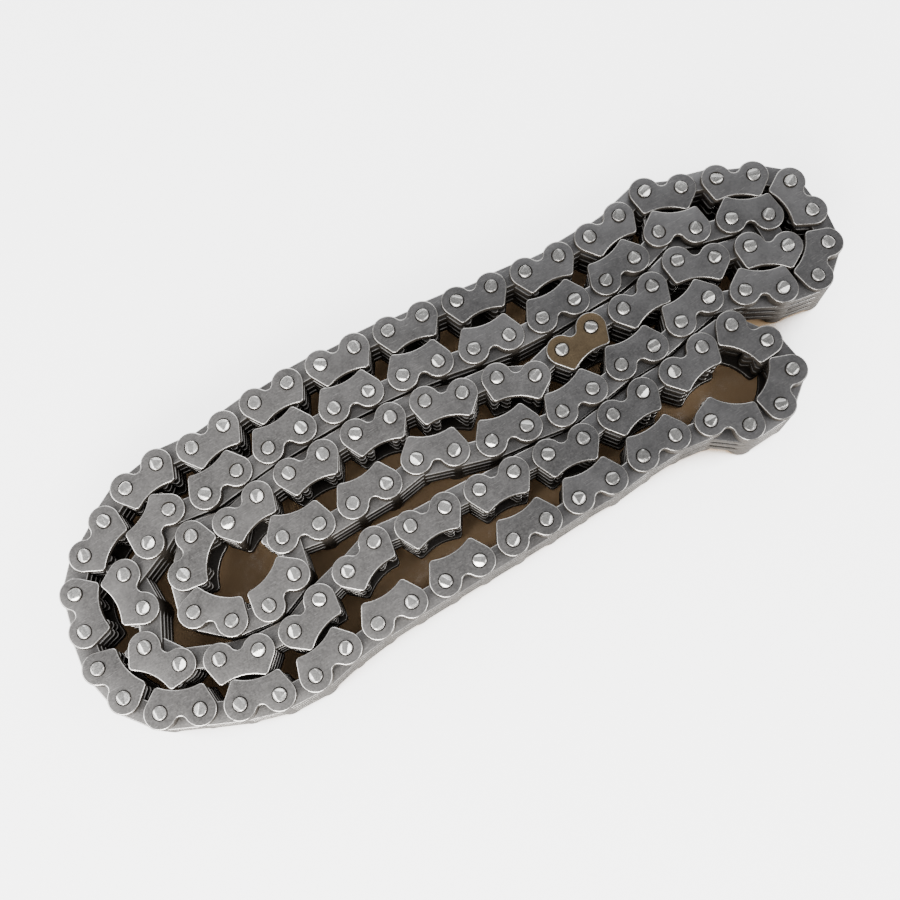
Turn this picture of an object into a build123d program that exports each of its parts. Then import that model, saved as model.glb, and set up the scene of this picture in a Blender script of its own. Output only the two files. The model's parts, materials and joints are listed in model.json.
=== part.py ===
from build123d import *
import math
import os

import numpy as np

# An endless silent chain (inverted-tooth chain) lying on its side, folded into six near-parallel runs.
# Every pin stands upright. +X runs along the folded chain, +Y across it, +Z up. Z = 0 is the surface
# under the pin ends. Sizes are millimetres.
#
# Guide links and tooth links take turns. A guide link is two guide plates, three row plates and the two
# pins pressed into all five. A tooth link is four row plates that turn on the pins of its neighbours.

# ---- driving sizes ---------------------------------------------------------------------------------
pitch = 9.525              # from one pin to the next
pin_diameter = 3.4
pin_proud = 0.8            # how far a pin's end stands out of the guide plate
pin_chamfer = 0.3
row_plate_thickness = 1.6
guide_plate_thickness = 1.5
side_gap = 0.08            # running gap between one plate and the next on the pins
bore_clearance = 0.07      # radial, between a tooth link's bore and the pin that it turns on
end_gap = 1.5              # between two plates that follow each other in one layer
tooth_depth = 5.4          # from the pin line to the tip of a row plate's tooth
tooth_radius = 1.0
foot_depth = 6.1           # from the pin line to the end of a guide plate's foot
foot_radius = 1.15
outer_flank_angle = 30.0   # from upright, on the outside of a tooth or foot
inner_flank_angle = 38.0   # from upright, on the crotch side of a tooth
crotch_top = 1.4           # from the pin line down to the top of the crotch
guide_waist = 5.05         # from the pin line down to the hollow between a guide plate's feet
notch_floor = 1.25         # from the pin line up to the floor of the notch in a guide plate's back
run_gap = 0.35             # least gap between plates of different runs in one layer
bend_gap = 0.1             # least gap between one plate's teeth and the next plate in a tight bend

row_plates_per_tooth_link = 4
marker_link = 28           # the guide link with the heat-tinted guide plate

# ---- how the chain lies ----------------------------------------------------------------------------
# Chosen pins as (pin number, x, y) in pitches. The pins between them are spaced evenly, and settle()
# then lays every pin exactly one pitch from the next and moves runs that touch apart.
lay = (
    # outer run, left to right
    (0, -8.45, 3.0), (2, -6.5, 3.1), (4, -4.5, 3.5), (6, -2.5, 3.55), (9, 0.5, 3.4), (11, 2.5, 3.2),
    (13, 4.55, 3.0), (15, 6.55, 3.2), (16, 7.45, 3.5), (17, 8.4, 3.15), (18, 9.4, 2.9), (19, 10.3, 2.5),
    # right outer bend
    (20, 11.0, 1.8), (21, 11.05, 0.8), (22, 10.9, -0.2), (23, 10.15, -0.8),
    # third run, right to left, with a kink where it turns under itself
    (24, 9.15, -0.65), (26, 7.3, 0.1), (27, 6.35, -0.25), (29, 4.4, -0.4), (31, 2.4, -0.7),
    (33, 0.4, -0.5), (35, -1.5, 0.0), (36, -2.5, -0.15), (38, -4.45, -0.25), (39, -5.45, -0.1),
    (40, -5.65, -1.05), (41, -6.6, -1.3),
    # inner left bend
    (42, -7.6, -1.3), (43, -8.45, -0.7), (44, -8.15, 0.25), (45, -7.45, 0.95),
    # fourth run, left to right
    (46, -6.45, 0.9), (48, -4.55, 1.3), (50, -2.55, 1.4), (52, -0.55, 1.3), (55, 2.3, 0.5),
    (57, 4.25, 0.9), (59, 6.25, 1.0), (60, 7.2, 1.3), (61, 8.1, 0.9), (62, 9.1, 0.75),
    # tight back-bend at the right, then the second run, right to left
    (63, 9.95, 0.25), (64, 10.0, 1.25), (65, 9.15, 1.7), (67, 7.25, 2.25), (68, 6.25, 1.9),
    (70, 4.25, 1.75), (72, 2.25, 1.75), (75, -0.7, 2.2), (77, -2.7, 2.3), (79, -4.7, 2.2),
    (81, -6.7, 1.8), (82, -7.65, 1.85), (84, -9.5, 1.0),
    # back-bend at the left
    (85, -9.4, 0.0), (86, -9.85, -0.9), (87, -9.2, -1.75),
    # fifth run, left to right
    (89, -7.3, -2.3), (91, -5.35, -1.95), (93, -3.45, -1.4), (95, -1.5, -1.45), (99, 2.5, -1.55),
    (101, 4.5, -1.3), (103, 6.5, -1.15), (104, 7.45, -0.85),
    # right lower bend
    (105, 8.1, -1.65), (106, 8.35, -2.6), (107, 7.5, -3.15),
    # lower outer run, right to left
    (108, 6.5, -3.05), (109, 5.6, -2.6), (111, 3.6, -2.75), (114, 0.65, -3.0), (118, -3.35, -3.15),
    (120, -5.35, -3.25), (122, -7.35, -3.55), (124, -9.25, -2.9),
    # left outer bend
    (125, -10.25, -2.6), (126, -10.85, -1.75), (127, -11.05, -0.75), (129, -10.85, 1.2),
    (130, -10.25, 2.0), (131, -9.3, 2.4),
)
pin_count = 132            # links 0, 2, 4 ... are guide links, and link i joins pins i and i + 1

# ---- which links move ------------------------------------------------------------------------------
# The outer run peels away from the coil as two loose ends. Each loose end starts at a pin of the coil.
upper_end_start = 14       # the loose end that leads back over pins 13 ... 0, 131 ... 128
lower_end_start = 111      # the loose end that leads on over pins 112 ... 128
open_pin = 128             # where the two ends meet: the pivot that is left open
hinge_travel = 15.0        # outward travel of each hinge, in degrees
short_travel = {7: 9.0, 122: 11.0}    # pins whose links meet the neighbouring run sooner

# ---- sizes that follow -----------------------------------------------------------------------------
pin_radius = pin_diameter / 2
lobe_radius = (pitch - end_gap) / 2
guide_link_plates = row_plates_per_tooth_link - 1
row_layers = guide_link_plates + row_plates_per_tooth_link
layer_step = row_plate_thickness + side_gap
first_row_layer = pin_proud + guide_plate_thickness + side_gap
upper_guide_layer = first_row_layer + row_layers * layer_step
pin_length = upper_guide_layer + guide_plate_thickness + pin_proud
tooth_row_layers = [first_row_layer + n * layer_step for n in range(0, row_layers, 2)]
guide_row_layers = [first_row_layer + n * layer_step for n in range(1, row_layers, 2)]


def direction(degrees):
    """The unit vector at an angle from +X."""
    return Vector(math.cos(math.radians(degrees)), math.sin(math.radians(degrees)))


def mirrored(point):
    """The point on the other side of the plate's middle."""
    return Vector(-point.X, point.Y)


# A plate is drawn with its pins on X, a half pitch each side of the origin, its back up and teeth down.
lobe = Vector(-pitch / 2, 0)
flank_out = direction(180 + outer_flank_angle)


def tip_centre(depth, radius):
    """The centre of the left tip's arc, which lies so that the outer flank runs tangent from the lobe."""
    y = radius - depth
    x = lobe.X + (lobe_radius - radius - flank_out.Y * y) / flank_out.X
    return Vector(x, y)


tooth = tip_centre(tooth_depth, tooth_radius)
foot = tip_centre(foot_depth, foot_radius)


def outer_side(lobe_top, tip, radius):
    """The left edges from a point on the lobe's arc to the outer flank's end at the tip."""
    start = lobe + flank_out * lobe_radius
    end = tip + flank_out * radius
    middle = lobe + direction(165) * lobe_radius
    return [ThreePointArc(lobe_top, middle, start), Line(start, end)], end


def both_sides(edges):
    """The edges and their mirror images across the plate's middle."""
    return edges + [edge.mirror(Plane.YZ) for edge in edges]


def row_plate_face():
    """A flat-backed plate with two teeth and a rounded crotch between them."""
    side, flank_end = outer_side(lobe + Vector(0, lobe_radius), tooth, tooth_radius)
    crotch_out = direction(-inner_flank_angle)
    radius = -tooth_radius - crotch_out.X * tooth.X - crotch_out.Y * (tooth.Y + crotch_top)
    radius /= 1 + crotch_out.Y
    crotch = Vector(0, -crotch_top - radius)
    toe = tooth + crotch_out * tooth_radius
    shoulder = crotch - crotch_out * radius
    side.append(ThreePointArc(flank_end, tooth + Vector(0, -tooth_radius), toe))
    side.append(Line(toe, shoulder))
    across = Line(lobe + Vector(0, lobe_radius), mirrored(lobe) + Vector(0, lobe_radius))
    arch = ThreePointArc(shoulder, Vector(0, -crotch_top), mirrored(shoulder))
    return make_face(both_sides(side) + [across, arch])


def guide_plate_face():
    """A plate with a notched back, and one shallow hollow between its feet instead of a crotch."""
    notch_radius = (lobe.X**2 + notch_floor**2 - lobe_radius**2) / (2 * (lobe_radius - notch_floor))
    notch = Vector(0, notch_floor + notch_radius)
    lobe_top = lobe + (notch - lobe).normalized() * lobe_radius
    side, flank_end = outer_side(lobe_top, foot, foot_radius)
    drop = foot.Y + guide_waist
    hollow_radius = (foot.X**2 + drop**2 - foot_radius**2) / (2 * (foot_radius - drop))
    hollow = Vector(0, -guide_waist - hollow_radius)
    toe = foot + (hollow - foot).normalized() * foot_radius
    side.append(ThreePointArc(flank_end, foot + direction(255) * foot_radius, toe))
    floor = ThreePointArc(lobe_top, Vector(0, notch_floor), mirrored(lobe_top))
    under = ThreePointArc(toe, Vector(0, -guide_waist), mirrored(toe))
    return make_face(both_sides(side) + [floor, under])


def plate(face, thickness, bore_radius):
    """A plate of the face's outline with its two bores, standing on Z = 0."""
    blank = extrude(face, thickness)
    for side in (-1, 1):
        hole = Cylinder(bore_radius, 3 * thickness)
        blank -= Pos(side * pitch / 2, 0, 0) * hole
    return blank.solid()


def chamfered_pin(length):
    """A pin with both ends chamfered, standing on Z = 0."""
    body = Pos(0, 0, length / 2) * Cylinder(pin_radius, length)
    return chamfer(body.edges().filter_by(GeomType.CIRCLE), pin_chamfer).solid()


# ---- laying the chain ------------------------------------------------------------------------------
def laid_places():
    """Every pin's first place in mm, spaced evenly between the chosen pins."""
    numbers = [n for n, x, y in lay] + [pin_count]
    xs = [x for n, x, y in lay] + [lay[0][1]]
    ys = [y for n, x, y in lay] + [lay[0][2]]
    every = np.arange(pin_count)
    return pitch * np.column_stack([np.interp(every, numbers, xs), np.interp(every, numbers, ys)])


def plate_discs(tip, tip_radius, waist_depth):
    """Discs that fill a plate's outline, as rows of (along, up, radius) in its own frame."""
    half = pitch / 2
    discs = [(x, 0.0, lobe_radius) for x in np.linspace(-half, half, 5)]
    for side in (-1, 1):
        for share in (0.35, 0.7, 1.0):
            x = half + share * (-tip.X - half)
            radius = lobe_radius + share * (tip_radius - lobe_radius)
            discs.append((side * x, share * tip.Y, radius))
    waist_radius = waist_depth / 2
    discs += [(x, -waist_radius, waist_radius) for x in (-half / 2, 0.0, half / 2)]
    return np.array(discs)


def close_up(pins, rounds):
    """Bring each pair of neighbouring pins to one pitch apart, a little at a time."""
    for _ in range(rounds):
        for first in (0, 1):
            a = np.arange(first, pin_count, 2)
            b = (a + 1) % pin_count
            gap = pins[b] - pins[a]
            length = np.linalg.norm(gap, axis=1, keepdims=True)
            move = gap * (1 - pitch / length) / 2
            pins[a] += move
            pins[b] -= move


def push_apart(pins, kind, discs):
    """Move links of one kind, 0 guide or 1 tooth, off each other where their discs come too near."""
    a = np.arange(kind, pin_count, 2)
    b = (a + 1) % pin_count
    along = (pins[b] - pins[a]) / pitch
    back = np.column_stack([-along[:, 1], along[:, 0]])
    middle = (pins[a] + pins[b]) / 2
    i, j = np.nonzero(np.triu(np.linalg.norm(middle[:, None] - middle, axis=2) < 2.5 * pitch, 1))
    centre = middle[:, None] + discs[:, 0, None] * along[:, None] + discs[:, 1, None] * back[:, None]
    between = centre[j][:, None, :, :] - centre[i][:, :, None, :]
    distance = np.linalg.norm(between, axis=3)
    follows = np.isin(j - i, (1, pin_count // 2 - 1))
    room = np.where(follows, bend_gap, run_gap)[:, None, None]
    short = discs[:, 2][:, None] + discs[:, 2] + room - distance
    u, v = np.unravel_index(short.reshape(len(i), -1).argmax(axis=1), short.shape[1:])
    rows = np.arange(len(i))
    depth = np.maximum(short[rows, u, v], 0.0)
    push = between[rows, u, v] / distance[rows, u, v][:, None] * depth[:, None] / 3
    for link, disc, move in ((i, u, -push), (j, v, push)):
        share = (discs[disc, 0] / pitch + 0.5)[:, None]
        turn = (discs[disc, 1] / pitch)[:, None] * np.column_stack([move[:, 1], -move[:, 0]])
        np.add.at(pins, a[link], move * (1 - share) - turn)
        np.add.at(pins, b[link], move * share + turn)
    return depth.max(initial=0.0)


def settle(places):
    """The pins' places: one pitch apart all round, with no plate nearer another run than run_gap."""
    pins = places.copy()
    kinds = (plate_discs(foot, foot_radius, guide_waist), plate_discs(tooth, tooth_radius, crotch_top))
    for pull in np.linspace(0.3, 0.0, 60):
        pins += pull * (places - pins)
        close_up(pins, 10)
        for kind, discs in enumerate(kinds):
            push_apart(pins, kind, discs)
    for _ in range(800):
        close_up(pins, 4)
        if max(push_apart(pins, kind, discs) for kind, discs in enumerate(kinds)) < 0.02:
            break
    close_up(pins, 3000)
    return pins - (pins.max(axis=0) + pins.min(axis=0)) / 2


pins_at = settle(laid_places())


def link_place(link, z):
    """Where a link's plate goes: midway between its pins, turned along them, at a height."""
    here = pins_at[link]
    there = pins_at[(link + 1) % pin_count]
    middle = (here + there) / 2
    turn = math.degrees(math.atan2(there[1] - here[1], there[0] - here[0]))
    return Pos(middle[0], middle[1], z) * Rot(0, 0, turn)


def pin_place(number, z=0.0):
    """Where a pin stands."""
    return Pos(pins_at[number][0], pins_at[number][1], z)


pressed_row_plate = plate(row_plate_face(), row_plate_thickness, pin_radius)
running_row_plate = plate(row_plate_face(), row_plate_thickness, pin_radius + bore_clearance)
guide_plate = plate(guide_plate_face(), guide_plate_thickness, pin_radius)
pin = chamfered_pin(pin_length)


def tooth_link(link):
    """The four plates of a tooth link."""
    return [link_place(link, z) * running_row_plate for z in tooth_row_layers]


def guide_row(link):
    """The three row plates inside a guide link."""
    return [link_place(link, z) * pressed_row_plate for z in guide_row_layers]


def guide_plates(link):
    """A guide link's lower and upper guide plates."""
    return [link_place(link, z) * guide_plate for z in (pin_proud, upper_guide_layer)]


def open_pin_pieces(number):
    """The open pivot's pin: only the slices held in its own guide link, none in the tooth link's bores."""
    end = pin_proud + guide_plate_thickness
    cap = Pos(0, 0, end / 2) * Cylinder(pin_radius, end)
    cap = chamfer(cap.edges().filter_by(GeomType.CIRCLE).sort_by(Axis.Z)[0], pin_chamfer)
    slice_ = Pos(0, 0, row_plate_thickness / 2) * Cylinder(pin_radius, row_plate_thickness)
    pieces = [pin_place(number) * cap.solid()]
    pieces += [pin_place(number, z) * slice_.solid() for z in guide_row_layers]
    pieces.append(pin_place(number, pin_length) * Rot(180, 0, 0) * cap.solid())
    return pieces


def guide_link_pins(link):
    """The two pins pressed into a guide link."""
    pieces = []
    for number in (link, link + 1):
        pieces += open_pin_pieces(number) if number == open_pin else [pin_place(number) * pin]
    return pieces


# ---- the loose ends, as lists of links from the coil outwards --------------------------------------
def links_from(first, last, step):
    """The link numbers from first to last round the endless chain."""
    count = ((last - first) * step) % pin_count + 1
    return [(first + step * n) % pin_count for n in range(count)]


upper_end = links_from(upper_end_start - 1, open_pin, -1)
lower_end = links_from(lower_end_start, open_pin - 1, 1)


def is_guide(link):
    """Whether a link is a guide link."""
    return link % 2 == 0


def body_name(link):
    """The name of a loose link's body: its kind and its number along the chain."""
    return f"{'guide' if is_guide(link) else 'tooth'}_link_{link:03d}"


def hinge_pins(links, step):
    """The pin that each link of a loose end turns on, which is the one nearer the coil."""
    return [(link + (step < 0)) % pin_count for link in links]


def nodes():
    """Every node's solids by name."""
    loose = upper_end + lower_end
    held = [link for link in range(pin_count) if link not in loose]
    held_guides = [link for link in held if is_guide(link)]
    marker = 2 * marker_link
    lower, upper = 0, 1
    out = {
        "coil_lower_guide_plates": [guide_plates(link)[lower] for link in held_guides],
        "coil_upper_guide_plates": [guide_plates(k)[upper] for k in held_guides if k != marker],
        "marker_guide_plate": [guide_plates(marker)[upper]],
        "coil_guide_row_plates": [p for link in held_guides for p in guide_row(link)],
        "coil_tooth_link_plates": [p for link in held if not is_guide(link) for p in tooth_link(link)],
        "coil_pins": [p for link in held_guides for p in guide_link_pins(link)],
    }
    for link in loose:
        if is_guide(link):
            out[body_name(link) + "_plates"] = guide_plates(link) + guide_row(link)
            out[body_name(link) + "_pins"] = guide_link_pins(link)
        else:
            out[body_name(link) + "_plates"] = tooth_link(link)
    return out


def main():
    os.makedirs("parts", exist_ok=True)
    for name, solids in nodes().items():
        export_step(Compound(solids), os.path.join("parts", name + ".step"))


if __name__ == "__main__":
    main()
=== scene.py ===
"""A silent timing chain laid in folds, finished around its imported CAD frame.

Every plate and pin of the frame is a solid with a known seat. The script reads the seats, makes one good
form of each kind of piece, and puts that form on every seat of its kind.
"""

import functools
import json
import math
import random

import bmesh
import bpy
import numpy as np
from bpy.props import FloatProperty, FloatVectorProperty, IntProperty, PointerProperty
from bpy.types import NodeSocket, Operator, Panel, PropertyGroup
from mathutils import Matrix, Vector

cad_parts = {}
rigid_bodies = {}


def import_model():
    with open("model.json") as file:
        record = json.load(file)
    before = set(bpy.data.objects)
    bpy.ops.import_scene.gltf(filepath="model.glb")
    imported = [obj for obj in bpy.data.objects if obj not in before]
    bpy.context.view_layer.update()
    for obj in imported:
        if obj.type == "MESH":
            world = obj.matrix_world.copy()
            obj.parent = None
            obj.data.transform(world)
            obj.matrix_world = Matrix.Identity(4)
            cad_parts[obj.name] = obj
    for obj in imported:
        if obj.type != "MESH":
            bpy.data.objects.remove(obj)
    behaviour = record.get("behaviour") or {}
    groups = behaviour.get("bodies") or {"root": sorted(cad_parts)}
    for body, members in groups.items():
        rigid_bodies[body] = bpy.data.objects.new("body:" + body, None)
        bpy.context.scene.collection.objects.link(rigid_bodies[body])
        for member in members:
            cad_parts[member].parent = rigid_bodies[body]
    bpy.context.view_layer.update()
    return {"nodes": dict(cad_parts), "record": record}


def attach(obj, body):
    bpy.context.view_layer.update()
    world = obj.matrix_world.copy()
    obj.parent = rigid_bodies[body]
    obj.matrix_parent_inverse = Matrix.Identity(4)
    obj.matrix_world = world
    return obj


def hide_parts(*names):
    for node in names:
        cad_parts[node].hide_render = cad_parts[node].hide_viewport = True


bl_info = {
    "name": "Silent Chain Finish",
    "version": (1, 0, 0),
    "blender": (4, 5, 0),
    "location": "3D Viewport > Sidebar > Chain",
    "description": "Finished plates, pins, steel and studio for a folded silent chain",
    "category": "Mesh",
}

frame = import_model()

MM = 0.001
MARKER_NODE = "marker_guide_plate"
MERGE = 1e-7          # metres, vertices nearer than this are one
SAME = 1e-5           # metres, heights nearer than this are one
NEAR_PINS = 6         # plate thicknesses from a plate's middle, within which its own pins lie
BORE_REACH = 1.1      # pin radii from a pin's centre, within which the edge of its bore lies
LINK_REACH = 3.6      # pin radii from a link's middle, within which its two pins lie
FULL_PIN = 0.9        # share of the tallest pin's height that a whole pin has at least

FACE, RIM, SIDE = 0, 1, 2                           # parts of a form, each with a finish of its own
GUIDE_FORM, ROW_FORM, OPEN_ROW_FORM = 0, 1, 2       # the plate forms, in the order of their names
SHARP = 0.7           # radians, faces that meet at more than this keep a sharp edge
HEAD_STEPS = 3        # steps in the rolled edge of a pin's head
HEAD_RINGS = (0.84, 0.68, 0.52, 0.36, 0.18)         # rings of vertices on a head, as shares of its radius
GROOVE_WIDTH = 0.10   # pin radii, half the width of a groove on a head
GROOVE_DEPTH = 0.05 * MM

# Marks that the staking punch leaves on pin heads. Each mark is its flats, as (turn, distance from the middle
# in pin radii), and the distance of a groove from the middle in pin radii, or None.
STAKE_MARKS = (
    (((0.3, 0.42), (3.6, 0.50)), None),
    (((1.1, 0.25), (4.4, 0.48)), None),
    (((2.0, 0.55), (5.2, 0.60)), 0.05),
    (((0.0, 0.42), (2.2, 0.50), (4.2, 0.42)), None),
    (((5.0, 0.10), (2.4, 0.55)), None),
)
MARK_SEED = 7         # seed of the draw that turns the pins and picks their marks
PIN_SHADE_SEED = 500  # first seed of the pins' shades, past those of the plates


# ---------------------------------------------------------------- sizes and colours


class ChainSizes(PropertyGroup):
    """Edges, heads and marks that the finish gives each piece."""

    guide_rim: FloatProperty(
        name="Guide plate rim", description="Radius of the rolled edge on the upper face of a guide plate",
        default=0.3 * MM, min=0.0, unit="LENGTH")
    back_edge: FloatProperty(
        name="Guide plate burr side", description="Small break on the lower edge of a guide plate",
        default=0.08 * MM, min=0.0, unit="LENGTH")
    row_rim: FloatProperty(
        name="Row plate rim", description="Break on the upper edge of a row plate",
        default=0.28 * MM, min=0.0, unit="LENGTH")
    bore_break: FloatProperty(
        name="Bore break", description="Chamfer round each bore of a guide plate",
        default=0.20 * MM, min=0.0, unit="LENGTH")
    rim_steps: IntProperty(
        name="Rim steps", description="Steps in a guide plate's rolled edge", default=4, min=1)
    row_points: IntProperty(
        name="Row plate points", description="Points left in the outline of a row plate", default=30, min=12)
    row_rim_steps: IntProperty(
        name="Row rim steps", description="Steps in a row plate's rolled edge", default=2, min=1)
    bore_depth: FloatProperty(
        name="Bore break depth", description="Depth of the break round each bore of a guide plate",
        default=0.40 * MM, min=0.0, unit="LENGTH")
    head_break: FloatProperty(
        name="Head break", description="Rounded edge of a pin's head", default=0.28 * MM, unit="LENGTH")
    head_crown: FloatProperty(
        name="Head crown", description="How far the rim of a pin's head lies under its middle",
        default=0.07 * MM, unit="LENGTH")
    pin_sides: IntProperty(name="Pin sides", description="Sides of a finished pin", default=28, min=8)
    stake_slope: FloatProperty(
        name="Stake slope", description="Fall of the flats that staking leaves on a head", default=0.60)


class ChainColours(PropertyGroup):
    """Steel colours, in linear light."""

    # The face tones at the two ends of the pile. The step from the darker to the lighter is painted light,
    # towards the front light, as well as wear.
    clean: FloatVectorProperty(
        name="Shaded clean steel", description="Guide plates at the clean end", subtype="COLOR",
        default=(0.118, 0.116, 0.117))
    lit_and_worn: FloatVectorProperty(
        name="Lit worn steel", description="Guide plates at the worn end", subtype="COLOR",
        default=(0.205, 0.198, 0.192))
    # The burnished rim is much lighter than the face: partly real burnish, partly a painted highlight that
    # draws a bright line along each rolled edge.
    rim: FloatVectorProperty(
        name="Burnished rim with painted highlight", description="Rolled edges of the plates", subtype="COLOR",
        default=(0.62, 0.60, 0.575))
    # The side colour is dark for the oil on the cut sides, and also as painted shade in the gaps between the
    # plates and round the pins.
    side: FloatVectorProperty(
        name="Oiled and shaded side", description="Cut sides of the plates under a film of oil", subtype="COLOR",
        default=(0.050, 0.042, 0.034))
    pin: FloatVectorProperty(
        name="Pin steel", description="Hardened pins", subtype="COLOR", default=(0.72, 0.71, 0.68))
    tint: FloatVectorProperty(
        name="Heat tint", description="The one guide plate that was tempered brown", subtype="COLOR",
        default=(0.135, 0.098, 0.058))
    # Old oil is partly painted shade: its colour darkens the lower layers of the chain, deep in the stack.
    oil_and_shade: FloatVectorProperty(
        name="Old oil", description="Film in the depth of the chain", subtype="COLOR",
        default=(0.030, 0.022, 0.014))
    # Painted shade: rims and pins at the clean end, away from the front light, keep only this share of their
    # tone.
    shaded_end_share: FloatProperty(
        name="Shine at the clean end", subtype="FACTOR", default=0.50, min=0.0, max=1.0,
        description="Tone of rims and pins at the clean end, as a share of their tone at the worn end")


class StageLook(PropertyGroup):
    """Floor, lights and camera."""

    floor: FloatVectorProperty(
        name="Floor", description="Pale floor", subtype="COLOR", default=(0.93, 0.93, 0.93))
    shadow: FloatVectorProperty(
        name="Floor in the folds", description="Floor colour where the folds shut out the light",
        subtype="COLOR", default=(0.50, 0.33, 0.18))
    floor_reach: FloatProperty(
        name="Floor reach", description="How far the floor reaches from the chain's middle to each side",
        default=2.0, min=0.0, unit="LENGTH")
    glow: FloatProperty(
        name="Floor glow", default=3.2, min=0.0,
        description="Light that the open floor gives back by itself, as a light table does")
    sky: FloatVectorProperty(
        name="Sky", description="Even light of the studio", subtype="COLOR", default=(0.60, 0.60, 0.61))
    camera_place: FloatVectorProperty(
        name="Camera place", description="Where the camera stands", subtype="TRANSLATION", unit="LENGTH",
        default=(-0.0340, -0.0726, 0.3158))
    camera_turn: FloatVectorProperty(
        name="Camera turn", description="Turn of the camera about X, Y and Z", subtype="EULER",
        default=(math.radians(14.14), math.radians(1.94), math.radians(-29.0)))
    view_angle: FloatProperty(
        name="View angle", description="Full angle of view across the frame", subtype="ANGLE",
        default=math.radians(39.34))


# ---------------------------------------------------------------- reading the frame


class Solid:
    """One closed solid of a CAD node: its merged vertices and its triangles."""

    def __init__(self, points, triangles):
        self.points = points
        self.triangles = triangles
        self.low = points.min(axis=0)
        self.high = points.max(axis=0)

    @property
    def middle(self):
        """The middle of its box."""
        return (self.low + self.high) / 2

    @property
    def height(self):
        """How far it reaches along Z."""
        return self.high[2] - self.low[2]


def connected(triangles, count):
    """Label each vertex with the lowest-numbered vertex that its triangles lead to."""
    labels = np.arange(count)
    while True:
        lowest = labels[triangles].min(axis=1)
        spread = labels.copy()
        for corner in range(3):
            np.minimum.at(spread, triangles[:, corner], lowest)
        spread = spread[spread]
        if np.array_equal(spread, labels):
            return labels
        labels = spread


def solids_of(node):
    """Split a CAD node into its solids without touching its mesh."""
    mesh = frame["nodes"][node].data
    places = np.empty(len(mesh.vertices) * 3)
    mesh.vertices.foreach_get("co", places)
    mesh.calc_loop_triangles()
    corners = np.empty(len(mesh.loop_triangles) * 3, dtype=np.int32)
    mesh.loop_triangles.foreach_get("vertices", corners)
    places = places.reshape(-1, 3)
    keys = np.round(places / MERGE).astype(np.int64)
    _, first, merged = np.unique(keys, axis=0, return_index=True, return_inverse=True)
    triangles = merged.reshape(-1)[corners].reshape(-1, 3)
    places = places[first]
    labels = connected(triangles, len(places))
    solids = []
    for label in np.unique(labels[triangles[:, 0]]):
        own = np.flatnonzero(labels == label)
        renumber = np.zeros(len(places), dtype=np.int64)
        renumber[own] = np.arange(len(own))
        held = triangles[labels[triangles[:, 0]] == label]
        solids.append(Solid(places[own], renumber[held]))
    return solids


def body_of_node():
    """The body that each CAD node belongs to."""
    bodies = frame["record"]["behaviour"]["bodies"]
    return {node: body for body, nodes in bodies.items() for node in nodes}


class Seat:
    """Where one plate sits: the point midway between its pins, and its turn about Z."""

    def __init__(self, solid, pins, bore_reach):
        flat = solid.points[:, :2]
        near = [pin for pin in pins if np.linalg.norm(pin - solid.middle[:2]) < solid.height * NEAR_PINS]
        counts = [int((np.linalg.norm(flat - pin, axis=1) < bore_reach).sum()) for pin in near]
        first, second = (near[place] for place in np.argsort(counts)[-2:])
        along = (second - first) / np.linalg.norm(second - first)
        middle = (first + second) / 2
        aside = (flat - middle) @ np.array([-along[1], along[0]])
        if aside.max() > -aside.min():
            along = -along      # the teeth or feet reach further than the back, and point to local -Y
        self.turn = math.atan2(along[1], along[0])
        self.place = (middle[0], middle[1], solid.low[2])


def in_own_frame(solid, seat):
    """The solid's vertices with its seat at the origin, its pins on X and its teeth to -Y."""
    moved = solid.points - np.array(seat.place)
    cos, sin = math.cos(seat.turn), math.sin(seat.turn)
    return np.column_stack([
        moved[:, 0] * cos + moved[:, 1] * sin,
        moved[:, 1] * cos - moved[:, 0] * sin,
        moved[:, 2]])


def top_loops(points, triangles):
    """The closed loops round a plate's upper face, counter-clockwise, with the outline first."""
    top = points[:, 2].max()
    flat = triangles[(points[triangles][:, :, 2] > top - SAME).all(axis=1)]
    edges = {}
    for one, two, three in flat:
        for edge in ((one, two), (two, three), (three, one)):
            edges[edge] = True
    follow = {start: end for start, end in edges if (end, start) not in edges}
    loops = []
    while follow:
        start, place = follow.popitem()
        loop = [start]
        while place != start:
            loop.append(place)
            place = follow.pop(place)
        loops.append(points[loop][:, :2])
    loops.sort(key=lambda loop: -np.ptp(loop[:, 0]))
    return [loop if enclosed(loop) > 0 else loop[::-1] for loop in loops]


def enclosed(loop):
    """Signed area inside a closed loop."""
    ahead = np.roll(loop, -1, axis=0)
    return 0.5 * float((loop[:, 0] * ahead[:, 1] - ahead[:, 0] * loop[:, 1]).sum())


def thinned(loop, wanted):
    """Drop the point nearest to the line between its neighbours until the wanted number is left."""
    loop = loop.copy()
    while len(loop) > wanted:
        before, after = np.roll(loop, 1, axis=0), np.roll(loop, -1, axis=0)
        span = after - before
        reach = loop - before
        offset = abs(span[:, 0] * reach[:, 1] - span[:, 1] * reach[:, 0]) / np.linalg.norm(span, axis=1)
        loop = np.delete(loop, int(offset.argmin()), axis=0)
    return loop


# ---------------------------------------------------------------- forms


def inset(loop, distance):
    """A closed loop moved inwards by a distance, or outwards by a negative one."""
    ahead = np.roll(loop, -1, axis=0) - loop
    ahead /= np.linalg.norm(ahead, axis=1)[:, None]
    behind = np.roll(ahead, 1, axis=0)
    inward = np.column_stack([-(ahead + behind)[:, 1], (ahead + behind)[:, 0]])
    length = np.linalg.norm(inward, axis=1)
    return loop + inward * (2 * distance / length ** 2)[:, None]


def ring_stack(form, loop, profile, parts):
    """Walls through copies of a loop: each profile step is (inset, height), and each wall is a part."""
    rings = []
    for distance, height in profile:
        ring = [form.verts.new((x, y, height)) for x, y in inset(loop, distance)]
        rings.append(ring)
    for lower, upper, part in zip(rings, rings[1:], parts):
        for place in range(len(lower)):
            after = (place + 1) % len(lower)
            wall = form.faces.new((lower[place], lower[after], upper[after], upper[place]))
            wall.material_index = part
    return rings


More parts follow.
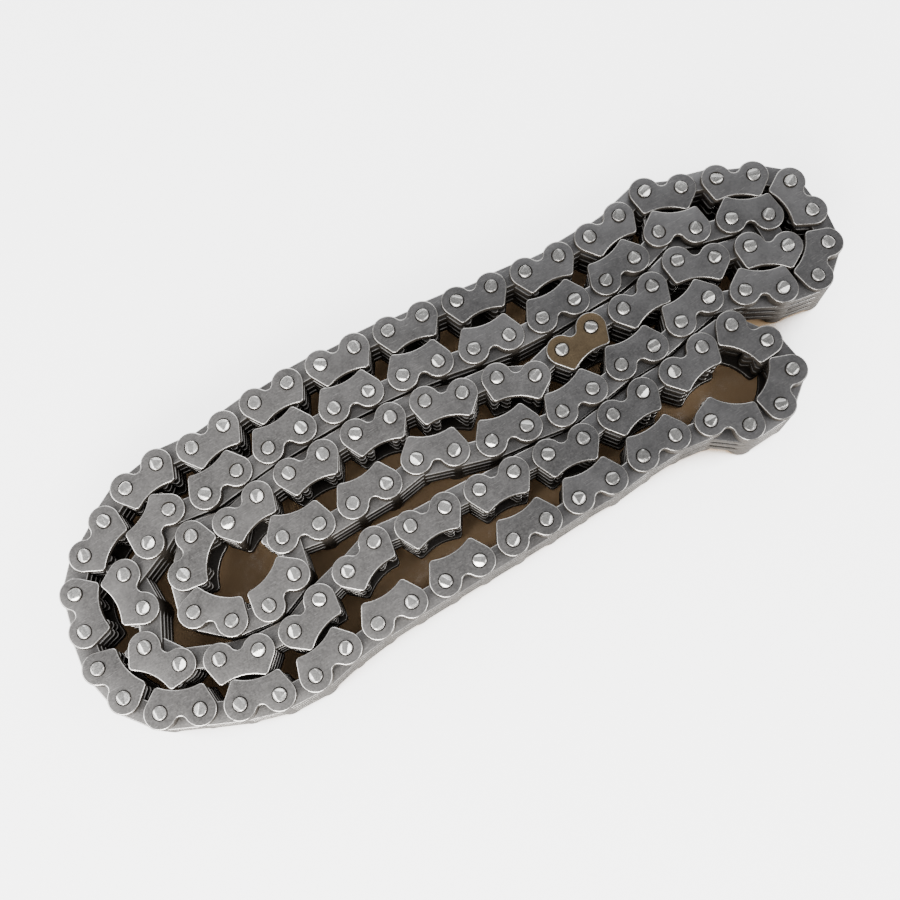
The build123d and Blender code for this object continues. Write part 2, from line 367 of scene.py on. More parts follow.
def cap(form, rings):
    """Close a flat end: one face for a lone ring, a fill between an outline and its bores."""
    if len(rings) == 1:
        form.faces.new(rings[0]).material_index = FACE
        return
    edges = [form.edges.get((ring[place - 1], ring[place])) for ring in rings for place in range(len(ring))]
    filled = bmesh.ops.triangle_fill(form, use_beauty=True, use_dissolve=False, edges=edges)
    for piece in filled["geom"]:
        if isinstance(piece, bmesh.types.BMFace):
            piece.material_index = FACE


def rolled_edge(radius, thickness, steps):
    """Profile of an upper edge rolled over by a radius."""
    turns = [math.pi / 2 * step / steps for step in range(steps + 1)]
    return [(radius * (1 - math.cos(turn)), thickness - radius + radius * math.sin(turn)) for turn in turns]


def plate_form(outline, bores, thickness, rim, steps, back, sizes):
    """A plate with a rolled upper edge, a broken lower edge and, where bores are given, broken bores."""
    form = bmesh.new()
    profile = [(back, 0.0), (0.0, back)] if back else [(0.0, 0.0)]
    upper = rolled_edge(rim, thickness, steps)
    steep = steps // 2      # the steep half of the rolled edge looks like the side and takes its dark finish with painted shade; the gentle half takes the rim finish with its painted highlight
    parts = [SIDE] * (len(profile) + steep) + [RIM] * (steps - steep)
    stacks = [ring_stack(form, outline, profile + upper, parts)]
    for bore in bores:
        # The groove round each bore takes the dark side finish: a dark ring of painted shade round each pin,
        # over the groove's own shade.
        bore_profile = [(0.0, 0.0), (0.0, thickness - sizes.bore_depth), (-sizes.bore_break, thickness)]
        stacks.append(ring_stack(form, bore, bore_profile, [SIDE, SIDE]))
    cap(form, [stack[0] for stack in stacks])
    cap(form, [stack[-1] for stack in stacks])
    return form


def head_height(x, y, flats, groove, radius, sizes):
    """Fall of a pin's head at a point: its crown, the flats of the staking and a groove across it."""
    fall = sizes.head_crown * (x * x + y * y) / radius ** 2
    for turn, offset in flats:
        reach = (x * math.cos(turn) + y * math.sin(turn)) / radius - offset
        fall = max(fall, sizes.stake_slope * radius * reach)
    if groove is not None:
        aside = abs(y - groove * radius) / (GROOVE_WIDTH * radius)
        fall += GROOVE_DEPTH * max(0.0, 1 - aside)
    return fall


def pin_form(radius, height, staked, footed, flats, groove, sizes):
    """A pin or a slice of one, standing on Z = 0, with a broken foot and a marked head where it has them."""
    form = bmesh.new()
    turns = [2 * math.pi * side / sizes.pin_sides for side in range(sizes.pin_sides)]
    circle = np.array([(radius * math.cos(turn), radius * math.sin(turn)) for turn in turns])
    edge = sizes.head_break
    profile = [(edge, 0.0), (0.0, edge)] if footed else [(0.0, 0.0)]
    parts = [SIDE] * len(profile)
    if staked:
        profile += rolled_edge(edge, height, HEAD_STEPS)
        parts += [RIM] * HEAD_STEPS
    else:
        profile += [(0.0, height)]
    rings = ring_stack(form, circle, profile, parts)
    cap(form, [rings[0]])
    if not staked:
        cap(form, [rings[-1]])
        return form
    reaches = [(radius - edge) * share for share in HEAD_RINGS]
    lower = rings[-1]
    for reach in reaches:
        upper = [form.verts.new((reach * math.cos(turn), reach * math.sin(turn), height)) for turn in turns]
        for place in range(len(lower)):
            after = (place + 1) % len(lower)
            form.faces.new((lower[place], lower[after], upper[after], upper[place])).material_index = FACE
        lower = upper
    centre = form.verts.new((0.0, 0.0, height))
    for place in range(len(lower)):
        after = (place + 1) % len(lower)
        form.faces.new((lower[place], lower[after], centre)).material_index = FACE
    for vertex in form.verts:
        if vertex.co.z > height - edge - SAME:
            vertex.co.z -= head_height(vertex.co.x, vertex.co.y, flats, groove, radius, sizes)
    return form


def as_form_object(form, name, collection):
    """Turn a bmesh into a form: smooth faces, sharp corners, and marks that say rim and side."""
    bmesh.ops.recalc_face_normals(form, faces=form.faces)
    for edge in form.edges:
        edge.smooth = edge.calc_face_angle(0.0) < SHARP
    for face in form.faces:
        face.smooth = True
    mesh = bpy.data.meshes.new(name)
    form.to_mesh(mesh)
    form.free()
    numbers = np.empty(len(mesh.polygons), dtype=np.int32)
    mesh.polygons.foreach_get("material_index", numbers)
    for label, number in (("rim", RIM), ("side", SIDE)):
        mesh.attributes.new(label, "BOOLEAN", "FACE").data.foreach_set("value", numbers == number)
    mesh.polygons.foreach_set("material_index", np.zeros(len(mesh.polygons), dtype=np.int32))
    collection.objects.link(bpy.data.objects.new(name, mesh))


def form_collection(name):
    """A collection in the scene that holds forms until every seat has its piece."""
    collection = bpy.data.collections.new(name)
    bpy.context.scene.collection.children.link(collection)
    return collection


def remove_forms(collection):
    """Take the forms out again, so that only finished pieces are left."""
    for piece in list(collection.objects):
        bpy.data.objects.remove(piece)
    bpy.data.collections.remove(collection)


# ---------------------------------------------------------------- nodes


def add(tree, kind, inputs=(), **options):
    """Add a node, set its options, and set or link its inputs by name or number."""
    made = tree.nodes.new(kind)
    for option, value in options.items():
        setattr(made, option, value)
    for key, value in dict(inputs).items():
        if isinstance(value, NodeSocket):
            tree.links.new(value, made.inputs[key])
        else:
            made.inputs[key].default_value = value
    return made


def seat_tree():
    """Geometry Nodes: put the form that each seat names on that seat, turned, and give it its finishes."""
    tree = bpy.data.node_groups.new("Forms on their seats", "GeometryNodeTree")
    for name, kind in (
            ("Seats", "NodeSocketGeometry"), ("Forms", "NodeSocketCollection"),
            ("Face finish", "NodeSocketMaterial"), ("Rim finish", "NodeSocketMaterial"),
            ("Side finish", "NodeSocketMaterial"), ("Shade seed", "NodeSocketInt")):
        tree.interface.new_socket(name, in_out="INPUT", socket_type=kind)
    tree.interface.new_socket("Pieces", in_out="OUTPUT", socket_type="NodeSocketGeometry")
    given = add(tree, "NodeGroupInput").outputs
    forms = add(tree, "GeometryNodeCollectionInfo", {"Collection": given["Forms"], "Separate Children": True,
                                                     "Reset Children": True})
    turn = add(tree, "GeometryNodeInputNamedAttribute", {"Name": "turn"}, data_type="FLOAT")
    form = add(tree, "GeometryNodeInputNamedAttribute", {"Name": "form"}, data_type="INT")
    spin = add(tree, "ShaderNodeCombineXYZ", {"Z": turn.outputs["Attribute"]})
    placed = add(tree, "GeometryNodeInstanceOnPoints", {
        "Points": given["Seats"], "Instance": forms.outputs[0], "Pick Instance": True,
        "Instance Index": form.outputs["Attribute"], "Rotation": spin.outputs[0]})
    shade = add(tree, "FunctionNodeRandomValue", {"Seed": given["Shade seed"]}, data_type="FLOAT")
    shaded = add(tree, "GeometryNodeStoreNamedAttribute", {
        "Geometry": placed.outputs[0], "Name": "shade", "Value": shade.outputs[1]},
        data_type="FLOAT", domain="INSTANCE")
    pieces = add(tree, "GeometryNodeRealizeInstances", {"Geometry": shaded.outputs[0]}).outputs[0]
    pieces = add(tree, "GeometryNodeSetMaterial", {
        "Geometry": pieces, "Material": given["Face finish"]}).outputs[0]
    for label, finish in (("rim", "Rim finish"), ("side", "Side finish")):
        marked = add(tree, "GeometryNodeInputNamedAttribute", {"Name": label}, data_type="BOOLEAN")
        pieces = add(tree, "GeometryNodeSetMaterial", {
            "Geometry": pieces, "Selection": marked.outputs["Attribute"],
            "Material": given[finish]}).outputs[0]
    add(tree, "NodeGroupOutput", {"Pieces": pieces})
    return tree


def seated_piece(name, tree, seats, forms, finishes, seed):
    """One plain mesh with a form on each seat; a seat is (place, turn, form number)."""
    mesh = bpy.data.meshes.new(name)
    mesh.from_pydata([place for place, _, _ in seats], [], [])
    mesh.attributes.new("turn", "FLOAT", "POINT").data.foreach_set("value", [turn for _, turn, _ in seats])
    mesh.attributes.new("form", "INT", "POINT").data.foreach_set("value", [form for _, _, form in seats])
    piece = bpy.data.objects.new(name, mesh)
    bpy.context.scene.collection.objects.link(piece)
    modifier = piece.modifiers.new("Seats", "NODES")
    modifier.node_group = tree
    given = {
        "Forms": forms, "Face finish": finishes[0], "Rim finish": finishes[1], "Side finish": finishes[2],
        "Shade seed": seed}
    for socket in tree.interface.items_tree:
        if socket.name in given:
            modifier[socket.identifier] = given[socket.name]
    ready = bpy.context.evaluated_depsgraph_get()
    solid = bpy.data.meshes.new_from_object(
        piece.evaluated_get(ready), preserve_all_data_layers=True, depsgraph=ready)
    piece.modifiers.clear()
    piece.data = solid
    solid.name = name
    if not solid.polygons:
        raise RuntimeError(f"{name} came out empty")
    return piece


def stand_for(piece, node):
    """The piece rides with the CAD node's body and hides the node."""
    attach(piece, body_of_node()[node])
    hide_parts(node)


# ---------------------------------------------------------------- shared shader groups


def shader_group(name, inputs, outputs):
    """A shader node group with named sockets, and what it is given; inputs are (name, default)."""
    group = bpy.data.node_groups.new(name, "ShaderNodeTree")
    for label, default in inputs:
        socket = group.interface.new_socket(label, in_out="INPUT", socket_type="NodeSocketFloat")
        socket.default_value = default
    for label in outputs:
        group.interface.new_socket(label, in_out="OUTPUT", socket_type="NodeSocketFloat")
    given = add(group, "NodeGroupInput").outputs
    return group, given


def math_node(tree, operation, one, two=None, three=None):
    """A Math node's result; each input is a number or a socket."""
    inputs = {place: value for place, value in enumerate((one, two, three)) if value is not None}
    return add(tree, "ShaderNodeMath", inputs, operation=operation).outputs[0]


def ramp(tree, value, start, end):
    """A value from start to end, mapped to 0 to 1 and held there."""
    return add(tree, "ShaderNodeMapRange", {"Value": value, "From Min": start, "From Max": end},
               clamp=True).outputs["Result"]


def object_place(tree):
    """Object coordinates, in metres."""
    return add(tree, "ShaderNodeTexCoord").outputs["Object"]


def tumbled_grain():
    """Cloudy tone and fine grain of barrel-finished steel."""
    group, given = shader_group(
        "Tumbled grain", [("Cloud scale", 170.0), ("Grain scale", 2600.0), ("Shade", 0.5)],
        ["Cloud", "Grain", "Height"])
    place = object_place(group)
    spread = 7.0        # how far apart in the noise the clouds of a light and a dark piece lie
    drift = math_node(group, "MULTIPLY", given["Shade"], spread)
    cloud = add(group, "ShaderNodeTexNoise", {
        "Vector": place, "W": drift, "Scale": given["Cloud scale"], "Detail": 3.0, "Roughness": 0.6},
        noise_dimensions="4D").outputs[0]
    grain = add(group, "ShaderNodeTexNoise", {
        "Vector": place, "Scale": given["Grain scale"], "Detail": 2.0, "Roughness": 0.6}).outputs[0]
    pits = add(group, "ShaderNodeTexVoronoi", {
        "Vector": place, "Scale": math_node(group, "MULTIPLY", given["Grain scale"], 0.5)}).outputs[0]
    height = math_node(group, "ADD", grain, math_node(group, "MULTIPLY", ramp(group, pits, 0.0, 0.35), 0.6))
    add(group, "NodeGroupOutput", {
        "Cloud": ramp(group, cloud, 0.3, 0.7), "Grain": ramp(group, grain, 0.3, 0.7), "Height": height})
    return group


def fine_scratches():
    """Short bright scratches in two directions, each given by its turn and its stretch."""
    group, given = shader_group("Fine scratches", [("Scale", 420.0), ("Coverage", 0.5)], ["Mask"])
    place = object_place(group)
    start, full = 0.62, 0.72        # noise at which a scratch begins, and at which it is fully there
    masks = []
    for turn, stretch in ((0.5, 9.0), (-0.9, 7.0)):
        turned = add(group, "ShaderNodeMapping", {
            "Vector": place, "Rotation": (0.0, 0.0, turn), "Scale": (1.0, stretch, 1.0)}).outputs[0]
        streak = add(group, "ShaderNodeTexNoise", {
            "Vector": turned, "Scale": given["Scale"], "Detail": 2.0, "Roughness": 0.55}).outputs[0]
        masks.append(ramp(group, streak, start, full))
    bare = 0.95                     # noise and coverage together, past which a place is scratched
    where = add(group, "ShaderNodeTexNoise", {"Vector": place, "Scale": 110.0}).outputs[0]
    patch = math_node(group, "GREATER_THAN", math_node(group, "ADD", where, given["Coverage"]), bare)
    both = math_node(group, "MAXIMUM", masks[0], masks[1])
    add(group, "NodeGroupOutput", {"Mask": math_node(group, "MULTIPLY", both, patch)})
    return group


def lit_and_worn_end():
    """How far a place lies towards the worn end of the pile, from 0 to 1, with an uneven border: a mask for
    wear, and for painted light, as that end lies towards the front light.
    """
    group, given = shader_group("Lit and worn end", [("Shaded and clean at", 0.035), ("Lit and worn at", -0.045)], ["Mask"])
    place = object_place(group)
    along = add(group, "ShaderNodeSeparateXYZ", {"Vector": place}).outputs["X"]
    uneven = add(group, "ShaderNodeTexNoise", {"Vector": place, "Scale": 28.0, "Detail": 1.0}).outputs[0]
    sway = 60 * MM      # how far the border wanders
    shift = math_node(group, "MULTIPLY_ADD", uneven, sway, -sway / 2)
    along = math_node(group, "ADD", along, shift)
    add(group, "NodeGroupOutput", {"Mask": ramp(group, along, given["Shaded and clean at"], given["Lit and worn at"])})
    return group


def oil_and_depth_shade():
    """Old oil and painted depth shade: thick and dark low down in the chain, thin and patchy near its top."""
    group, given = shader_group("Oil and depth shade", [("Unshaded above", 0.0125), ("Darkest below", 0.0075)], ["Mask"])
    place = object_place(group)
    height = add(group, "ShaderNodeSeparateXYZ", {"Vector": place}).outputs["Z"]
    patch = add(group, "ShaderNodeTexNoise", {"Vector": place, "Scale": 260.0, "Detail": 3.0}).outputs[0]
    sway = 4 * MM       # how far the upper border of the oil and its painted shade rises and falls
    uneven = math_node(group, "MULTIPLY_ADD", patch, sway, -sway / 2)
    level = math_node(group, "ADD", height, uneven)
    add(group, "NodeGroupOutput", {"Mask": ramp(group, level, given["Unshaded above"], given["Darkest below"])})
    return group


class Groups:
    """The shared groups, each built once."""

    def __init__(self):
        self.grain = tumbled_grain()
        self.scratches = fine_scratches()
        self.lit_and_worn = lit_and_worn_end()
        self.oil_and_shade = oil_and_depth_shade()


# ---------------------------------------------------------------- materials

# How strongly grain and scratches show everywhere, and how much more they show at the worn end.
GRAIN_SHOWS, WORN_GRAIN_SHOWS = 0.10, 0.30
SCRATCH_SHOWS, WORN_SCRATCH_SHOWS = 0.18, 0.40
GRAIN_TONE, SCRATCH_TONE = 1.5, 1.9                 # their tones, as multiples of the worn tone
GRAIN_ROUGHENS, SCRATCH_ROUGHENS = 0.12, -0.08      # what they add to the roughness
GRAIN_DEPTH = 0.02 * MM

# One look for each finish: the scales of its clouds and its grain, how far its pieces vary, how much the
# clouds, the scratches and the oil with its painted depth shade show, and its surface.
LOOKS = {
    "face": {"cloud_scale": 210.0, "grain_scale": 2200.0, "variety": 0.16, "clouds": 0.42, "scratched": 0.56,
             "oiled_and_shaded": 0.70, "roughness": 0.40, "metallic": 0.90, "bump": 0.5},
    "rim": {"cloud_scale": 400.0, "grain_scale": 3000.0, "variety": 0.08, "clouds": 0.25, "scratched": 0.50,
            "oiled_and_shaded": 0.45, "roughness": 0.24, "metallic": 1.0, "bump": 0.2},
    "side": {"cloud_scale": 400.0, "grain_scale": 1800.0, "variety": 0.20, "clouds": 0.45, "scratched": 0.45,
             "oiled_and_shaded": 0.50, "roughness": 0.58, "metallic": 0.60, "bump": 0.6},
    "pin": {"cloud_scale": 700.0, "grain_scale": 2400.0, "variety": 0.14, "clouds": 0.30, "scratched": 0.55,
            "oiled_and_shaded": 0.30, "roughness": 0.22, "metallic": 1.0, "bump": 0.5},
    "tint": {"cloud_scale": 230.0, "grain_scale": 2600.0, "variety": 0.02, "clouds": 0.40, "scratched": 0.62,
             "oiled_and_shaded": 0.80, "roughness": 0.36, "metallic": 0.90, "bump": 0.5},
}


def mix(tree, amount, one, two, blend="MIX"):
    """A colour mix; each input is a colour or a socket."""
    inputs = {"Factor": amount, "A": one, "B": two}
    mixer = add(tree, "ShaderNodeMix", data_type="RGBA", blend_type=blend)
    for name, value in inputs.items():
        wanted = "VALUE" if name == "Factor" else "RGBA"
        socket = next(entry for entry in mixer.inputs if entry.name == name and entry.type == wanted)
        if isinstance(value, NodeSocket):
            tree.links.new(value, socket)
        else:
            socket.default_value = value
    return next(entry for entry in mixer.outputs if entry.type == "RGBA")


def rgba(colour, gain=1.0):
    """A colour for a socket, brightened by a gain."""
    return (colour[0] * gain, colour[1] * gain, colour[2] * gain, 1.0)


def faded(colour, share):
    """A share of a colour."""
    return tuple(share * value for value in colour)


def blank_material(name):
    """A node material with only its output."""
    material = bpy.data.materials.new(name)
    material.use_nodes = True
    tree = material.node_tree
    tree.nodes.clear()
    return material, tree


def steel(name, groups, colour, lit_and_worn_colour, oil_and_shade_colour, looks):
    """A steel finish: tone by wear and painted light along the pile and by piece, grain and scratches, and
    oil with painted shade in the depth.
    """
    material, tree = blank_material(name)
    shade = add(tree, "ShaderNodeAttribute", attribute_name="shade").outputs["Fac"]
    grain = add(tree, "ShaderNodeGroup", {
        "Cloud scale": looks["cloud_scale"], "Grain scale": looks["grain_scale"], "Shade": shade},
        node_tree=groups.grain).outputs
    lit_and_worn = add(tree, "ShaderNodeGroup", node_tree=groups.lit_and_worn).outputs["Mask"]
    scratches = add(tree, "ShaderNodeGroup", {"Coverage": looks["scratched"]},
                    node_tree=groups.scratches).outputs["Mask"]
    oil_and_shade = add(tree, "ShaderNodeGroup", node_tree=groups.oil_and_shade).outputs["Mask"]
    # Painted light: the face grows lighter towards the worn end, which lies towards the front light, and
    # darker towards the clean end.
    tone = mix(tree, lit_and_worn, rgba(colour), rgba(lit_and_worn_colour))
    lighter = mix(tree, 1.0, tone, rgba((1 + looks["variety"],) * 3), "MULTIPLY")
    darker = mix(tree, 1.0, tone, rgba((1 - looks["variety"],) * 3), "MULTIPLY")
    tone = mix(tree, shade, darker, lighter)
    dull = mix(tree, 1.0, tone, rgba((1 - looks["clouds"],) * 3), "MULTIPLY")
    tone = mix(tree, grain["Cloud"], dull, tone)
    shows = math_node(tree, "MULTIPLY_ADD", lit_and_worn, WORN_GRAIN_SHOWS, GRAIN_SHOWS)
    speck = math_node(tree, "MULTIPLY", grain["Grain"], shows)
    tone = mix(tree, speck, tone, rgba(lit_and_worn_colour, GRAIN_TONE))
    shows = math_node(tree, "MULTIPLY_ADD", lit_and_worn, WORN_SCRATCH_SHOWS, SCRATCH_SHOWS)
    mark = math_node(tree, "MULTIPLY", scratches, shows)
    tone = mix(tree, mark, tone, rgba(lit_and_worn_colour, SCRATCH_TONE))
    # Oil and painted shade: the tone darkens towards the bottom of the chain.
    tone = mix(tree, math_node(tree, "MULTIPLY", oil_and_shade, looks["oiled_and_shaded"]), tone, rgba(oil_and_shade_colour))
    rough = math_node(tree, "MULTIPLY_ADD", grain["Grain"], GRAIN_ROUGHENS, looks["roughness"])
    rough = math_node(tree, "MULTIPLY_ADD", scratches, SCRATCH_ROUGHENS, rough)
    bump = add(tree, "ShaderNodeBump", {
        "Strength": looks["bump"], "Distance": GRAIN_DEPTH, "Height": grain["Height"]}).outputs[0]
    shader = add(tree, "ShaderNodeBsdfPrincipled", {
        "Base Color": tone, "Metallic": looks["metallic"], "Roughness": rough, "Normal": bump})
    add(tree, "ShaderNodeOutputMaterial", {"Surface": shader.outputs[0]})
    return material


class Finishes:
    """Every finish of the chain, and the three that each kind of piece has: face, rim and side."""

    def __init__(self, colours):
        groups = Groups()
        oil_and_shade = colours.oil_and_shade
        # Painted shade: rims and pins are dimmer towards the clean end and brightest towards the worn end,
        # where the front light falls.
        shaded_rim = faded(colours.rim, colours.shaded_end_share)
        shaded_pin = faded(colours.pin, colours.shaded_end_share)
        face = steel("Tumbled steel", groups, colours.clean, colours.lit_and_worn, oil_and_shade, LOOKS["face"])
        rim = steel("Burnished rim with painted highlight", groups, shaded_rim, colours.rim, oil_and_shade, LOOKS["rim"])
        side = steel("Oiled and shaded side", groups, colours.side, colours.side, oil_and_shade, LOOKS["side"])
        pin = steel("Pin steel", groups, shaded_pin, colours.pin, oil_and_shade, LOOKS["pin"])
        tint = steel("Heat tinted steel", groups, colours.tint, colours.tint, oil_and_shade, LOOKS["tint"])
        self.plate = (face, rim, side)
        self.marker = (tint, rim, side)
        self.pins = (pin, rim, side)


@functools.cache
def finishes():
    """The finishes in the scene's colours, built once, when the first piece needs them."""
    return Finishes(bpy.context.scene.chain_colours)


# ---------------------------------------------------------------- the chain's nodes


def pin_nodes():
    """The CAD nodes that hold pins."""
    return [node for node in frame["nodes"] if node.endswith("_pins")]


def plate_nodes():
    """The CAD nodes that hold plates."""
    return [node for node in frame["nodes"] if not node.endswith("_pins")]


class Chain:
    """All that the frame says about the chain, read once."""

    def __init__(self):
        self.pins = {node: solids_of(node) for node in pin_nodes()}
        self.plates = {node: solids_of(node) for node in plate_nodes()}
        every_pin = [solid for solids in self.pins.values() for solid in solids]
        every_plate = [solid for solids in self.plates.values() for solid in solids]
        self.pin_radius = float(np.ptp(every_pin[0].points[:, 0])) / 2
        centres = {tuple(np.round(solid.middle[:2], 6)): solid.middle[:2] for solid in every_pin}
        self.centres = list(centres.values())
        self.lowest_plate = min(solid.low[2] for solid in every_plate)
        self.highest_plate = max(solid.high[2] for solid in every_plate)
        self.pin_height = max(solid.height for solid in every_pin)

    def is_guide(self, solid):
        """Guide plates are the lowest and the highest layer."""
        return solid.low[2] < self.lowest_plate + SAME or solid.high[2] > self.highest_plate - SAME

    def seat(self, solid):
        """The seat of a plate."""
        return Seat(solid, self.centres, self.pin_radius * BORE_REACH)

    def loops(self, guide):
        """Outline, bores and thickness of the first plate of a kind."""
        solid = next(
            solid for solids in self.plates.values() for solid in solids if self.is_guide(solid) == guide)
        own = in_own_frame(solid, self.seat(solid))
        outline, *bores = top_loops(own, solid.triangles)
        return outline, bores, float(solid.height)


chain = Chain()


def open_pivot_nodes():
    """Tooth links with an empty bore, which shows when the loop's two ends swing apart."""
    whole = [
        solid.middle[:2] for solids in chain.pins.values() for solid in solids
        if solid.height > FULL_PIN * chain.pin_height]
    opened = []
    for node, solids in chain.plates.items():
        if node.startswith("tooth_link"):
            place = np.array(chain.seat(solids[0]).place[:2])
            own = [pin for pin in whole if np.linalg.norm(pin - place) < LINK_REACH * chain.pin_radius]
            if len(own) < 2:
                opened.append(node)
    return opened


# ---------------------------------------------------------------- operators


class CHAIN_OT_plates(Operator):
    """Finish every guide plate and row plate of the chain"""

    bl_idname = "chain.plates"
    bl_label = "Plates"

    def execute(self, context):
        sizes = context.scene.chain_sizes
        forms = form_collection("Plate forms")
        outline, bores, thickness = chain.loops(guide=True)
        guide = plate_form(
            outline, bores, thickness, sizes.guide_rim, sizes.rim_steps, sizes.back_edge, sizes)
        as_form_object(guide, "form_0_guide", forms)
        outline, bores, thickness = chain.loops(guide=False)
        outline = thinned(outline, sizes.row_points)
        row = plate_form(outline, [], thickness, sizes.row_rim, sizes.row_rim_steps, 0.0, sizes)
        as_form_object(row, "form_1_row", forms)
        opened = plate_form(outline, bores, thickness, sizes.row_rim, sizes.row_rim_steps, 0.0, sizes)
        as_form_object(opened, "form_2_open_row", forms)
        tree = seat_tree()
        open_nodes = open_pivot_nodes()
        for seed, (node, solids) in enumerate(sorted(chain.plates.items())):
            row_form = OPEN_ROW_FORM if node in open_nodes else ROW_FORM
            seats = []
            for solid in solids:
                seat = chain.seat(solid)
                seats.append((seat.place, seat.turn, GUIDE_FORM if chain.is_guide(solid) else row_form))
            marked = node == MARKER_NODE
            look = finishes().marker if marked else finishes().plate
            piece = seated_piece(node + "_finished", tree, seats, forms, look, seed)
            stand_for(piece, node)
        remove_forms(forms)
        return {"FINISHED"}


class CHAIN_OT_pins(Operator):
    """Finish every pin, with the marks that staking left on its head"""

    bl_idname = "chain.pins"
    bl_label = "Pins"

    def execute(self, context):
        sizes = context.scene.chain_sizes
        forms = form_collection("Pin forms")
        kinds = {self.kind(solid) for solids in chain.pins.values() for solid in solids}
        numbers = {}
        for kind in sorted(kinds):
            height, footed, staked = kind
            for flats, groove in (STAKE_MARKS if staked else STAKE_MARKS[:1]):
                form = pin_form(chain.pin_radius, height * MM, staked, footed, flats, groove, sizes)
                number = sum(len(made) for made in numbers.values())
                numbers.setdefault(kind, []).append(number)
                as_form_object(form, f"form_{number:02d}", forms)
        tree = seat_tree()
        draw = random.Random(MARK_SEED)
        for seed, (node, solids) in enumerate(sorted(chain.pins.items())):
            seats = []
            for solid in solids:
                place = (*solid.middle[:2], solid.low[2])
                seats.append((place, draw.uniform(0, 2 * math.pi), draw.choice(numbers[self.kind(solid)])))
            seed += PIN_SHADE_SEED
            piece = seated_piece(node + "_finished", tree, seats, forms, finishes().pins, seed)
            stand_for(piece, node)
        remove_forms(forms)
        return {"FINISHED"}

    @staticmethod
    def kind(solid):
        """Height in millimetres, to a thousandth, and whether the pin has a foot and a head."""
        foot = solid.low[2] < chain.lowest_plate - SAME
        head = solid.high[2] > chain.highest_plate + SAME
        return round(float(solid.height) / MM, 3), bool(foot), bool(head)


FOLD_REACH = 0.05                       # metres, how far the floor looks for plates that shade it
FOLD_SHUT, FOLD_OPEN = 0.36, 0.54       # shares of open sky over the floor in a fold and outside one
FLOOR_ROUGHNESS = 0.9

# The studio's lights, which all face the chain's middle.
LIGHTS = {
    "Front light": {"place": (-0.42, -0.50, 0.34), "width": 0.5, "watts": 14.0, "colour": (1.0, 0.985, 0.96)},
    "Left light": {"place": (-0.60, 0.10, 0.40), "width": 0.5, "watts": 4.0, "colour": (1.0, 1.0, 1.0)},
    "Right light": {"place": (0.45, -0.42, 0.50), "width": 0.4, "watts": 4.0, "colour": (1.0, 1.0, 1.0)},
    "Back light": {"place": (0.35, 0.60, 0.45), "width": 0.6, "watts": 3.0, "colour": (0.96, 0.98, 1.0)},
}


def floor_material(look):
    """Pale floor with painted shade: it goes brown and dark where the folds of the chain shut out the light,
    and its glow fades there.
    """
    material, tree = blank_material("Pale floor")
    open_sky = add(tree, "ShaderNodeAmbientOcclusion", {"Distance": FOLD_REACH}).outputs["AO"]
    # Painted shade: an occlusion mask mixes the shadow colour into the floor and dims its glow inside the
    # folds.
    clear = ramp(tree, open_sky, FOLD_SHUT, FOLD_OPEN)
    tone = mix(tree, clear, rgba(look.shadow), rgba(look.floor))
    shader = add(tree, "ShaderNodeBsdfPrincipled", {
        "Base Color": tone, "Roughness": FLOOR_ROUGHNESS, "Emission Color": rgba(look.floor),
        "Emission Strength": math_node(tree, "MULTIPLY", clear, look.glow)})
    add(tree, "ShaderNodeOutputMaterial", {"Surface": shader.outputs[0]})
    return material


def lay_floor(look):
    """A flat square floor at Z = 0, which belongs to the stage."""
    reach = look.floor_reach
    mesh = bpy.data.meshes.new("floor")
    corners = [(-reach, -reach, 0), (reach, -reach, 0), (reach, reach, 0), (-reach, reach, 0)]
    mesh.from_pydata(corners, [], [(0, 1, 2, 3)])
    mesh.materials.append(floor_material(look))
    floor = bpy.data.objects.new("floor", mesh)
    bpy.context.scene.collection.objects.link(floor)


def hang_light(name, place, width, watts, colour):
    """A square soft light that faces the chain's middle."""
    lamp = bpy.data.lights.new(name, "AREA")
    lamp.size = width
    lamp.energy = watts
    lamp.color = colour
    light = bpy.data.objects.new(name, lamp)
    light.location = place
    light.rotation_euler = (-Vector(place)).to_track_quat("-Z", "Y").to_euler()
    bpy.context.scene.collection.objects.link(light)


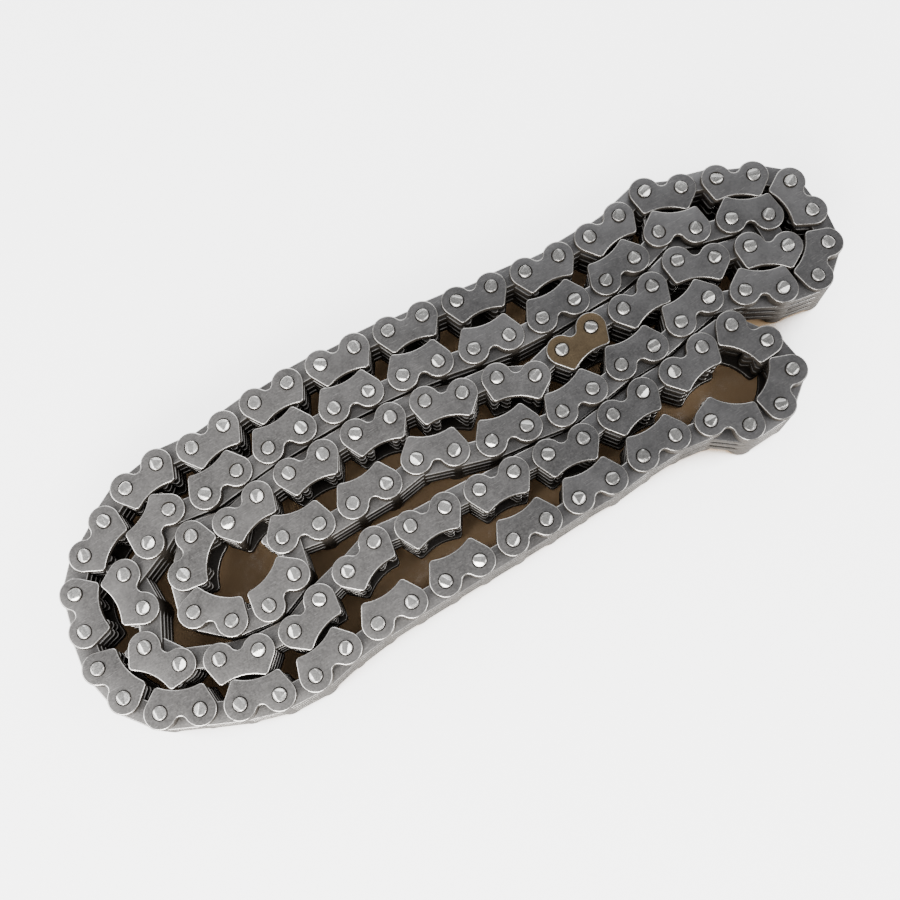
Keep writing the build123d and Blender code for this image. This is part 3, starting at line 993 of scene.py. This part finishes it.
def stand_camera(look):
    """The camera that the scene is seen through."""
    lens = bpy.data.cameras.new("Camera")
    lens.sensor_fit = "HORIZONTAL"
    lens.angle = look.view_angle
    lens.clip_start = 10 * MM
    camera = bpy.data.objects.new("Camera", lens)
    camera.location = look.camera_place
    camera.rotation_euler = look.camera_turn
    bpy.context.scene.collection.objects.link(camera)
    bpy.context.scene.camera = camera


class CHAIN_OT_stage(Operator):
    """Lay the floor, hang the lights and stand the camera"""

    bl_idname = "chain.stage"
    bl_label = "Stage"

    def execute(self, context):
        look = context.scene.chain_stage
        lay_floor(look)
        world = bpy.data.worlds.new("Studio")
        world.use_nodes = True
        world.node_tree.nodes["Background"].inputs["Color"].default_value = rgba(look.sky)
        context.scene.world = world
        for name, light in LIGHTS.items():
            hang_light(name, **light)
        stand_camera(look)
        return {"FINISHED"}


class CHAIN_PT_panel(Panel):
    """Sizes and colours of the chain, and the steps that finish it"""

    bl_idname = "CHAIN_PT_panel"
    bl_label = "Silent chain"
    bl_space_type = "VIEW_3D"
    bl_region_type = "UI"
    bl_category = "Chain"

    def draw(self, context):
        scene = context.scene
        for group in (scene.chain_sizes, scene.chain_colours, scene.chain_stage):
            box = self.layout.box()
            for name in group.__annotations__:
                box.prop(group, name)
        for step in STEPS:
            self.layout.operator(step.bl_idname)


STEPS = (CHAIN_OT_stage, CHAIN_OT_plates, CHAIN_OT_pins)
GROUPS = {"chain_sizes": ChainSizes, "chain_colours": ChainColours, "chain_stage": StageLook}
CLASSES = (*GROUPS.values(), *STEPS, CHAIN_PT_panel)


def register():
    """Register the classes, and give each scene its properties."""
    for entry in CLASSES:
        bpy.utils.register_class(entry)
    for name, group in GROUPS.items():
        setattr(bpy.types.Scene, name, PointerProperty(type=group))


def unregister():
    """Take the properties and the classes away again."""
    for name in GROUPS:
        delattr(bpy.types.Scene, name)
    for entry in reversed(CLASSES):
        bpy.utils.unregister_class(entry)


def main():
    """Stage and finish the chain."""
    register()
    bpy.ops.chain.stage()
    bpy.ops.chain.plates()
    bpy.ops.chain.pins()


if __name__ == "__main__":
    main()
